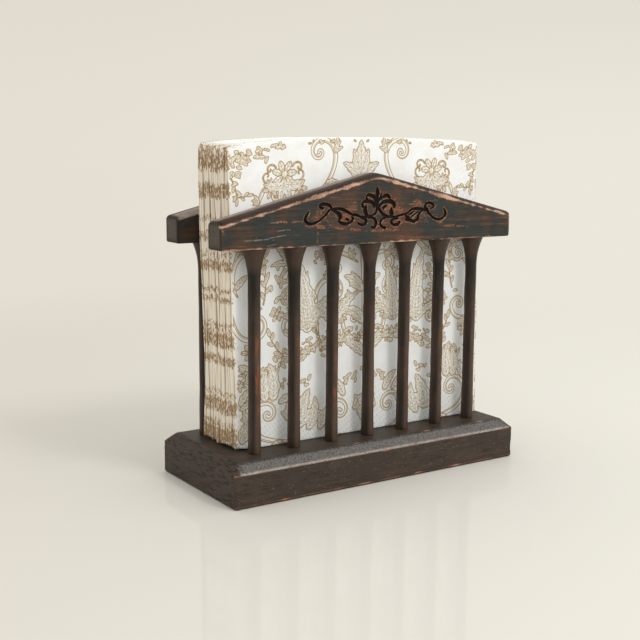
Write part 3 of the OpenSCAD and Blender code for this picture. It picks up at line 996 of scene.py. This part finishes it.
def sweep(x, z, heading, length, turn, curl, widths):
    """A curved stroke that starts at a point and heading and turns by an angle over its length: evenly for
    no curl, and as a logarithmic spiral that tightens towards its end for a curl near 1. Gives rows of x,
    z, half width and distance along."""
    count = max(len(widths), 7, int(abs(turn) / 15), int(length / 3.5))
    share = np.linspace(0, 1, count)
    middle = (share[1:] + share[:-1]) / 2
    turned = np.log(1 - curl * middle) / math.log(1 - curl) if curl else middle
    angle = np.radians(heading + turn * turned)
    step = length / (count - 1)
    across = np.concatenate([[0], np.cumsum(np.cos(angle)) * step])
    up = np.concatenate([[0], np.cumsum(np.sin(angle)) * step])
    width = np.interp(share, np.linspace(0, 1, len(widths)), widths)
    return np.stack([x + across, z + up, width, share * length], -1)


LEAF_WIDTHS = np.array([0.3, 0.8, 1.0, 0.95, 0.7, 0.05])
RIBBON_WIDTHS = np.array([0.25, 0.8, 1.0, 1.0, 0.75, 0.5])


def leaf(x, z, heading, length, turn, plump):
    """A plain pointed leaf: a short curved stroke that swells and thins again."""
    return sweep(x, z, heading, length, turn, 0, LEAF_WIDTHS * length * plump)


def acanthus(x, z, heading, length, turn, plump, lobes):
    """A lobed leaf: its half width swells and thins over the leaf and is notched between its lobes."""
    share = np.linspace(0, 1, 4 * lobes + 1)
    swell = np.sin(np.pi * share**0.75) ** 0.8
    notched = 0.55 + 0.45 * np.abs(np.sin(np.pi * lobes * share))
    return sweep(x, z, heading, length, turn, 0, (swell * notched + 0.06) * length * plump)


def point_on(path, share):
    """The place and heading at a share of a path's length."""
    def at(share):
        """The place at a share of the length."""
        return [np.interp(share * path[-1, 3], path[:, 3], path[:, c]) for c in range(2)]

    x, z = at(share)
    ahead, behind = at(min(1, share + 0.02)), at(max(0, share - 0.02))
    return x, z, math.degrees(math.atan2(ahead[1] - behind[1], ahead[0] - behind[0]))


def spray(path, share, side, length, count):
    """Lobed leaves that leave a path together on one side, fanned out, the first one the longest."""
    x, z, heading = point_on(path, share)
    fan = []
    for k in range(count):
        away = side * (14 + 30 * k)
        grow = length * (1.0, 0.8, 0.55)[k]
        fan.append(acanthus(x, z, heading + away, grow, side * 55, 0.19, 3 + (grow > 9)))
    return fan


def rosette(x, z, size, petals=6, start=0.0):
    """A flower seen from the front: petals round a small ring."""
    ring = 0.28 * size
    flower = []
    for k in range(petals):
        angle = start + 2 * math.pi * k / petals
        foot_x, foot_z = x + ring * math.cos(angle), z + ring * math.sin(angle)
        flower.append(leaf(foot_x, foot_z, math.degrees(angle), size * 0.72, 8, 0.32))
    return flower + [sweep(x - 0.1, z, 90, 0.2, 0, 0, (size * 0.22, size * 0.22))]


def scroll(x, z, heading, lead, bend, size, turns, width, side, sprays):
    """A ribbon that runs in over a lead and rolls up to one side into a volute of about the given radius,
    with sprays of lobed leaves on its outer side. Gives the ribbon's strokes and the leaves'."""
    widths = RIBBON_WIDTHS * width
    run_in = sweep(x, z, heading, lead, bend, 0, widths[:3])
    roll_x, roll_z = run_in[-1, :2]
    length, turn = size * turns * 3.6, side * turns * 360
    spiral = sweep(roll_x, roll_z, heading + bend, length, turn, 0.93, widths[2:])
    spiral[:, 3] += lead
    ribbon = np.concatenate([run_in, spiral[1:]])
    eye_x, eye_z = spiral[-1, :2]
    knob = sweep(eye_x - 0.1, eye_z, 0, 0.2, 0, 0, (0.75, 0.75))
    leaves = []
    for k, share in enumerate(sprays):
        leaves += spray(ribbon, share, -side, size * (1.25 - 0.2 * k), 3 - k % 2)
    return [ribbon, knob], leaves


def tendril(x, z, heading, length, turn):
    """A thin stem that curls up at its tip."""
    return sweep(x, z, heading, length, turn, 0.9, (0.45, 0.36, 0.225))


def sprig(x, z, heading, length, bend, size=5.0, every=3.2):
    """A twig with small leaves on both of its sides and one at its tip."""
    stem = sweep(x, z, heading, length, bend, 0, (0.3, 0.15))
    leaves = [leaf(stem[-1, 0], stem[-1, 1], heading + bend, size, 10, 0.22)]
    for k, s in enumerate(np.arange(every, length, every)):
        at_x, at_z, along = point_on(stem, s / length)
        side = 1 if k % 2 else -1
        leaves.append(leaf(at_x, at_z, along + side * 48, size * 0.9, -side * 25, 0.22))
    return [stem], leaves


def foliage(seed, middle, spread, count, size):
    """A loose tuft of small leaves in all directions, thicker towards its middle."""
    rng = np.random.default_rng(seed)
    x, z = (rng.normal(middle[c], spread[c], count) for c in range(2))
    heading = rng.uniform(-30, 210, count)
    length = rng.uniform(0.6, 1.2, count) * size
    turn = rng.uniform(-60, 60, count)
    return [leaf(*each, 0.26) for each in zip(x, z, heading, length, turn)]


# The right half of the print, across from the middle and up from the hem in millimetres.
# Scrolls: place, heading, lead and bend, the volute's size and turns, width, side, and places of sprays.
SCROLLS = [
    # the hem: two rolled scrolls
    (0, 0.5, -20, 16, 30, 9.0, 1.7, 1.3, 1, (0.2, 0.45)),
    (47, 1, 0, 18, 20, 8.5, 1.7, 1.3, 1, (0.1, 0.42)),
    # the sides: two pairs of C-scrolls back to back
    (79, 84, 60, 14, 40, 8.0, 1.7, 1.3, 1, (0.08, 0.4)),
    (83, 78.5, 270, 12, -20, 7.5, 1.7, 1.3, -1, (0.1, 0.4)),
    (80, 104, 115, 10, 20, 6.5, 1.6, 1.3, 1, (0.1, 0.42)),
    (73, 44, 300, 9, 15, 5.0, 1.5, 1.2, 1, (0.1, 0.4)),
    # the middle: tall scrolls beside the spine
    (30, 58, 80, 20, 12, 7.5, 1.7, 1.35, 1, (0.1, 0.3, 0.5)),
    (31, 58, 65, 12, -18, 6.5, 1.6, 1.25, -1, (0.1, 0.4)),
    (3, 52, 20, 9, 20, 6.0, 1.5, 1.15, 1, (0.1, 0.4)),
    (3, 96, 35, 9, -10, 5.5, 1.5, 1.1, -1, (0.1, 0.4)),
    # under the top edge
    (28, 135.5, 150, 20, -50, 7.0, 1.6, 1.3, -1, (0.1, 0.4)),
    (66, 128, 100, 10, 20, 5.0, 1.5, 1.1, 1, (0.1, 0.4)),
]
# Lobed leaves by plumpness and number of lobes: each one's place, heading, length and turn.
LOBED_LEAVES = [
    # the hem: between and over its scrolls
    (0.18, 4, [
        (14, 22, 75, 14, -45), (19, 22, 40, 10, 35), (7, 13, 110, 12, 40), (60, 25, 105, 21, -40),
        (64, 25, 72, 18, 40), (56, 23, 145, 12, 30), (52, 14, 120, 12, -40), (25, 8, 60, 10, -30),
        (72, 12, 40, 12, 40)]),
    (0.2, 4, [
        (44, 8, 95, 22, 30), (44, 8, 125, 16, 45), (44, 8, 62, 15, -40), (0, 6, 78, 17, -22),
        (73, 22, 100, 14, 40)]),
    (0.17, 5, [(38, 6, 130, 19, -50), (30, 5, 105, 17, 35)]),
    # the sides
    (0.17, 4, [
        (80, 88, 120, 11, 40), (80, 24, 110, 12, 30), (80, 22, 160, 10, -40), (80, 4, 100, 13, 30),
        (80, 3, 140, 12, -40), (80, 46, 190, 9, 30)]),
    # the middle: pairs of leaves on the spine, and tall blades beside it
    (0.2, 4, [
        (0.5, 44, 60, 15, -55), (0.5, 62, 66, 16, -60), (0.5, 66, 40, 13, -60), (0.5, 80, 62, 15, -50),
        (0.5, 84, 30, 10, 30), (0.5, 104, 62, 14, -45)]),
    (0.1, 7, [(37, 60, 96, 44, -30), (37, 60, 72, 34, 40), (37, 60, 112, 32, 50), (37, 60, 56, 22, -50)]),
    (0.11, 6, [(20, 62, 84, 36, 24), (20, 62, 112, 26, 45), (20, 62, 62, 24, -50)]),
    (0.14, 5, [(47, 98, 70, 15, -40), (47, 98, 120, 14, 40), (47, 98, 20, 12, -40)]),
    # under the top edge: round a flower, and in the middle
    (0.19, 4, [
        (49, 141, 200, 13, -50), (49, 141, -20, 13, 50), (49, 141, 240, 11, 30), (49, 141, -60, 11, -30)]),
    (0.2, 4, [(0, 141, 80, 17, -14), (0, 141, 55, 15, -35), (0, 141, 25, 11, 45)]),
]
# Tufts of small leaves: seed, middle, spread, number and size, from the hem to the garland at the top.
TUFTS = [
    (18, (46, 32), (8.0, 2.5), 12, 3.6), (19, (9, 31), (5.0, 2.0), 9, 3.4),
    (14, (79, 118), (1.6, 3.0), 8, 3.6), (15, (79, 34), (1.6, 4.0), 9, 3.6),
    (3, (50, 84), (4.5, 7.5), 34, 4.2), (4, (14, 78), (3.2, 6.5), 20, 3.8),
    (6, (44, 47), (7.0, 1.8), 18, 4.0), (7, (60, 42), (4.5, 1.4), 10, 3.6),
    (12, (23, 101), (4.0, 3.0), 18, 3.8), (13, (62, 98), (2.5, 5.0), 14, 3.8),
    (16, (14, 55), (10.0, 2.0), 56, 3.4), (17, (36, 51.5), (8.0, 1.8), 40, 3.2),
    (8, (74, 157), (6.0, 1.6), 34, 3.6), (9, (79, 150), (2.0, 4.0), 14, 3.4),
    (10, (56, 160.5), (7.0, 0.7), 14, 2.8), (11, (20, 161), (9.0, 0.6), 10, 2.6),
]
# Flowers: place, size, petals and the first one's angle. Twigs: place, heading, length and bend, and where
# they differ the leaves' size and spacing. Tendrils: place, heading, length and turn.
ROSETTES = [(73, 53, 5.0), (56, 72, 4.4), (49, 146, 7.5, 7, 0.3), (40, 138, 5.0), (57.5, 138.5, 4.6, 5)]
SPRIGS = [
    (52, 48, 40, 15, 30), (64, 78, 110, 16, -30), (66, 28, 60, 12, 50),
    (81, 148, 240, 12, 30, 4.0, 2.6), (80, 138, 200, 9, -30, 3.6, 2.4),
]
TENDRILS = [
    (44, 150, 120, 12, 420), (54, 150, 60, 11, -420), (42, 142, 190, 13, -380), (57, 142, -10, 13, 380),
]
SPINE_WIDTHS = (0.9, 0.5, 1.1, 0.5, 0.9, 0.5, 0.9, 0.4)


def napkin_print():
    """The print's strokes as two layers: scrolls and stems, and the leaves and flowers over them. Both are
    mirrored in the middle, where a spine with a leaf at its tip stands alone."""
    stems = [tendril(*each) for each in TENDRILS]
    leaves = [acanthus(*each, plump, lobes) for plump, lobes, places in LOBED_LEAVES for each in places]
    for ribbon, sprays in [scroll(*each) for each in SCROLLS] + [sprig(*each) for each in SPRIGS]:
        stems += ribbon
        leaves += sprays
    for tuft in [foliage(*each) for each in TUFTS] + [rosette(*each) for each in ROSETTES]:
        leaves += tuft

    def mirrored(strokes):
        """The same strokes on the left half."""
        return [np.concatenate([-stroke[:, :1], stroke[:, 1:]], 1) for stroke in strokes]

    spine = [sweep(0, 2, 90, 112, 0, 0, SPINE_WIDTHS), leaf(0, 114, 90, 9, 0, 0.24)]
    top_leaf = [acanthus(0, 143, 90, 19, 0, 0.2, 5)]
    return stems + mirrored(stems) + spine, leaves + mirrored(leaves) + top_leaf


PRINT = napkin_print()
PRINT_REACH = 1.4

NAPKINS = 20
NAPKIN_W, NAPKIN_H = 165.0, 163.5
HEM_ROUND = 0.8
# A napkin fills FILL of its thickness and HEM_THIN of that at its hem and top, and its faces wave by up to
# FACE_WAVE.
FILL, HEM_THIN, FACE_WAVE = 0.97, 0.12, 0.06
STACK_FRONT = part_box("napkin_01")[0][1] / MM
# The stack's foot stands to the right of the middle. Up to LEAN_HEIGHT it bends back to the left by
# STACK_LEAN, its rear napkins stand REAR_SHIFT further left, and pressing together thins it above.
STACK_FOOT, STACK_LEAN, LEAN_HEIGHT = 3.0, 4.3, 165
REAR_SHIFT = 1.0
THINNER_ABOVE = 0.11
# How much lower the top edge is at its left and right corner, and at the left of the rearmost napkin.
LEFT_DROP, RIGHT_DROP = 6.2, 2.2
REAR_LEFT_DROP = 3.8
# The least and the most by which napkins differ: how far the hem lifts at the left and at the right, how
# much lower the corners are, how far to the right the napkin stands, and how far its front folds draw in.
LEAST = [0.3, 0.0, -0.7, -0.5, 0]
MOST = [2.0, 0.8, 0.7, 0.5, 0.9]
# Creases are counted in half napkins from the front. One in this many, inside a napkin, is open and
# gets a darker painted shade.
CREASE_EVERY = 4

# Where the print crosses the folds: the middle and half height of each band above the base, and how dense.
FOLD_BANDS = [
    (158, 3.5, 0.6), (150.5, 4.6, 0.95), (136, 4, 1.0), (121.5, 1.5, 0.7), (112, 3, 0.8), (103, 2.2, 0.6),
    (97, 3, 0.9), (84.5, 1.3, 0.9), (79.5, 1.8, 0.75), (65.5, 2.8, 0.6), (58, 4.5, 0.9), (47, 2.8, 0.9),
    (29, 2, 0.6), (22, 4.3, 0.9), (12, 2.5, 0.65), (5, 5.5, 1.0),
]


def stack_middle(height):
    """How far the stack's middle stands to the right: half a cosine wave from its foot to LEAN_HEIGHT."""
    bend = 0.5 - 0.5 * np.cos(np.pi * np.clip(height / LEAN_HEIGHT, 0, 1))
    return STACK_FOOT - STACK_LEAN * bend


def folded_ring(thickness, front, back, turn_steps):
    """Once round a napkin seen from above: a flat front, two rounded folds on the right, a flat back and two
    folds on the left. Gives rows of across, through, a share that is 0 on the sheets and 1 on the folds, and
    one that is 0 in the creases and 1 at the height of a fold."""
    r = thickness / 4
    edge = NAPKIN_W / 2 - r
    angle = np.linspace(-np.pi / 2, np.pi / 2, turn_steps + 1)
    bulge = np.stack([edge + r * np.cos(angle), r * np.sin(angle)])
    right = np.concatenate([bulge - [[0], [r]], bulge[:, 1:] + [[0], [r]]], 1)
    left = right * [[-1], [-1]]
    front_run = np.stack([np.linspace(-edge, edge, front + 1)[1:-1], np.full(front - 1, -2 * r)])
    back_run = np.stack([np.linspace(edge, -edge, back + 1)[1:-1], np.full(back - 1, 2 * r)])
    across, through = np.concatenate([left[:, -1:], front_run, right, back_run, left], 1)
    depth = np.clip(1 - np.abs(np.abs(through) - r) / r, 0, 1)
    fold = np.clip((np.abs(across) - edge + 0.5) / 0.5, 0, 1)
    return across, through, fold, depth


def folded_napkin(number, front, back, rows, turn_steps, printed):
    """One napkin: the ring of its section carried up its height, drawn together at the hem and the top over
    a small rounding. Its top edge is crowned, its hem lifts at the corners, and its folds are uneven."""
    name = f"napkin_{number:02d}"
    body = "front_napkin" if number == 1 else "napkin_stack"
    low, high = (np.array(c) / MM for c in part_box(name))
    thickness = high[1] - low[1]
    mid_y = (high[1] + low[1]) / 2
    behind = (number - 1) / (NAPKINS - 1)
    rng = np.random.default_rng(100 + number)
    lift_left, lift_right, drop, shift, turn_in = rng.uniform(LEAST, MOST)

    # u runs across the sheet, v up it, and swell is 1 but where hem and top are drawn together.
    across, through, fold, depth = folded_ring(thickness, front, back, turn_steps)
    turn = np.linspace(0, np.pi / 2, 5)[:-1]
    hem_v = HEM_ROUND * (1 - np.cos(turn))
    inner = np.linspace(HEM_ROUND, NAPKIN_H - HEM_ROUND, rows)
    swell = np.concatenate([np.sin(turn), np.ones(rows), np.sin(turn[::-1])])[:, None]
    v = np.concatenate([hem_v, inner, NAPKIN_H - hem_v[::-1]])[:, None] + 0 * across
    u = across + 0 * v
    side, share = u / (NAPKIN_W / 2), v / NAPKIN_H
    from_left, from_right = NAPKIN_W / 2 + u, NAPKIN_W / 2 - u
    layer = np.sign(through) + 0 * v

    left_drop = LEFT_DROP + (REAR_LEFT_DROP - LEFT_DROP) * behind
    crown = np.where(side < 0, left_drop * np.abs(side) ** 2.2, RIGHT_DROP * side**2)
    crown += drop * np.abs(side)
    hem = lift_left * np.exp(-from_left / 5.0) + lift_right * np.exp(-from_right / 5.0)
    z = hem * (1 - share) ** 6 + v - crown * share**1.5
    along_fold = np.stack([0 * u, layer * 9 + number * 20, v], -1)
    slide = plane_waves(along_fold, 60, 400, 14) * 0.32 + turn_in * layer * 0.25
    slide *= np.sign(u) * (np.abs(side) > 0.9)
    x = u + stack_middle(z) - REAR_SHIFT * behind + shift + slide - np.sign(u) * 0.5 * (1 - swell)
    sheet = np.stack([u, 0 * u + number * 7, v], -1)
    wave = plane_waves(sheet, 26, 200 + number, 14) * 0.5 + plane_waves(sheet, 7, 300 + number, 14) * 0.18
    room = FACE_WAVE * layer * (np.abs(through) > thickness * 0.3)
    thin = HEM_THIN + (1 - HEM_THIN) * swell
    y = mid_y + through * thin * FILL - room * np.clip(wave, -1, 1) * swell
    y = STACK_FRONT + (y - STACK_FRONT) * (1 - THINNER_ABOVE * share)
    points = np.stack([x, y, BASE_H + z], -1)

    jitter = rng.uniform(-1.0, 1.0) + 0.5 * layer
    band = 0 * u
    for middle, half, dense in FOLD_BANDS:
        band = np.maximum(band, dense * ramp(half - np.abs(z - middle - jitter), -0.6, 0.9))
    # Painted shade in the creases between the folds, darker in the open ones.
    crease_number = 2 * number - 1 + np.where(np.abs(through) < thickness * 0.28, 0, np.sign(through))
    weight = np.where(crease_number % CREASE_EVERY == 1, rng.uniform(0.75, 1.0), 0.2)
    crease_shade = (1 - depth) * weight * (fold > 0.4)
    on_top = (1 - swell) * (v > NAPKIN_H / 2) * ramp(np.abs(u + 6), 12, 46)
    spill = 0.62 * np.exp(-from_left / 7.0) + 0.45 * np.exp(-from_right / 4.0)
    band = np.maximum(band * np.maximum(fold, spill), on_top * 0.8)
    marks = {"fold": fold + 0 * v, "band": band, "crease_shade": crease_shade + 0 * v, "sheet_u": u, "sheet_v": v}
    if printed:
        blank = (number == 1) & (through + 0 * v > thickness * 0.3)
        for layer_name, strokes in zip(("stem", "leaf"), PRINT):
            fields = nearest_stroke(u.ravel(), v.ravel(), strokes, PRINT_REACH)
            fields[0][blank.ravel()] = PRINT_REACH
            for field_name, field in zip(("ink", "across", "wide", "along"), fields):
                marks[f"{layer_name}_{field_name}"] = field
    finish = PRINTED_PAPER if printed else PLAIN_PAPER
    skin(f"{name}_folded", points, finish, body, name, marks)


def ink_layer(paper, name):
    """One layer of the print as it was engraved: how far a point lies inside it, its outline, and finer
    lines inside. A leaf has a midrib and slanting veins, and a stem an inner line and short hatching."""
    ink, across, wide, along = (paper.attribute(f"{name}_{n}") for n in ("ink", "across", "wide", "along"))
    inside = ink.step(0.05, -0.2)
    outline = abs(ink).step(0.38, 0.1)
    if name == "leaf":
        midrib = abs(across).step(0.3, 0.1) * wide.step(0.5, 0.8)
        veins = ((along - abs(across) * 0.9) * 3.6).sine().step(0.2, 0.9) * wide.step(0.7, 1.0)
        fine = midrib.larger(veins * 0.75)
    else:
        second = abs(across - wide * 0.35).step(0.28, 0.08) * wide.step(0.6, 0.9)
        hatching = (along * 4.2).sine().step(0.0, 0.8) * (across / wide).step(0.1, 0.5)
        fine = second.larger(hatching * 0.3)
    shade = inside * (across / wide).step(-0.2, 0.9)
    return inside, outline.larger(inside * fine * 0.8), shade


TISSUE, TISSUE_SHADE = colour(238, 240, 240), colour(232, 232, 230)
DOT_SHADE = colour(204, 202, 196)
INK, INK_SHADE, INK_TINT = colour(164, 137, 88), colour(214, 198, 164), colour(236, 230, 214)
FOLD_PALE, FOLD_SHADE = colour(236, 229, 216), colour(226, 217, 202)
# Painted shade in the creases of the folds.
CREASE_SHADE = colour(150, 130, 104)
SHEET_DASH, FOLD_DASH = colour(176, 150, 100), colour(142, 108, 60)


def paper_finish(name, printed):
    """White tissue with a faint emboss of slanting dots, the tan print on its face, and print in bands of
    short dashes over the folds, which are greyer and have painted shade in their creases."""
    paper = Finish(name)
    u, v = paper.attribute("sheet_u"), paper.attribute("sheet_v")
    fold, band, crease_shade = (paper.attribute(n) for n in ("fold", "band", "crease_shade"))
    place = paper.place()
    cloud = paper.noise(place, 0.06, 3.0, 0.6)
    fibre = paper.noise(place, 2.2, 4.0, 0.7)
    dots = ((u * 0.85 + v * 0.53) * 3.3).sine().step(0.0, 0.8)
    dots = dots * ((u * 0.5 - v * 0.85) * 2.2).sine().step(-0.7, 0.1)
    emboss = dots * v.step(34, 16).larger(u.step(66, 76))
    tone = paper.mix(cloud.step(0.4, 0.65), TISSUE, TISSUE_SHADE)
    tone = paper.mix(emboss * 0.45, tone, DOT_SHADE)
    if printed:
        stem_inside, stem_mark, stem_shade = ink_layer(paper, "stem")
        leaf_inside, leaf_mark, leaf_shade = ink_layer(paper, "leaf")
        shade = leaf_shade.larger(stem_shade * (1 - leaf_inside))
        mark = leaf_mark.larger(stem_mark * (1 - leaf_inside))
        uneven = fibre.step(0.25, 0.5) * 0.25 + 0.75
        tone = paper.mix(stem_inside.larger(leaf_inside) * 0.3, tone, INK_TINT)
        tone = paper.mix(shade * 0.35, tone, INK_SHADE)
        tone = paper.mix(mark * uneven, tone, INK)
    edge_tone = paper.mix(fibre.step(0.3, 0.7), FOLD_PALE, FOLD_SHADE)
    # Painted shade in the creases.
    edge_tone = paper.mix(crease_shade.step(0.15, 0.8) * 0.75, edge_tone, CREASE_SHADE)
    tone = paper.mix(fold, tone, edge_tone)
    dash = paper.noise(paper.stretch(place, 1.1, 1.6, 0.55), 1.0, 3.0, 0.6)
    dash = dash + (band - 0.5) * 0.2 + crease_shade * fold * 0.1 - 0.01
    dash = dash.step(0.5, 0.58) * band.step(0.25, 0.6)
    tone = paper.mix(dash * 0.85, tone, paper.mix(fold, SHEET_DASH, FOLD_DASH))
    paper.set(Base_Color=tone, Roughness=0.85, Specular_IOR_Level=0.25)
    paper.set(Normal=paper.bump(fibre * 0.4 + emboss * 1.2 + cloud * 1.5, 0.35, 0.0004))
    return paper.material


PRINTED_PAPER = paper_finish("printed_paper", True)
PLAIN_PAPER = paper_finish("paper_between", False)

# The first two napkins and the last one show their faces, so these have a fine grid there and the print.
folded_napkin(1, front=286, back=22, rows=262, turn_steps=6, printed=True)
folded_napkin(2, front=240, back=22, rows=230, turn_steps=6, printed=True)
for between in range(3, NAPKINS):
    folded_napkin(between, front=16, back=16, rows=120, turn_steps=5, printed=False)
folded_napkin(NAPKINS, front=22, back=240, rows=230, turn_steps=6, printed=True)
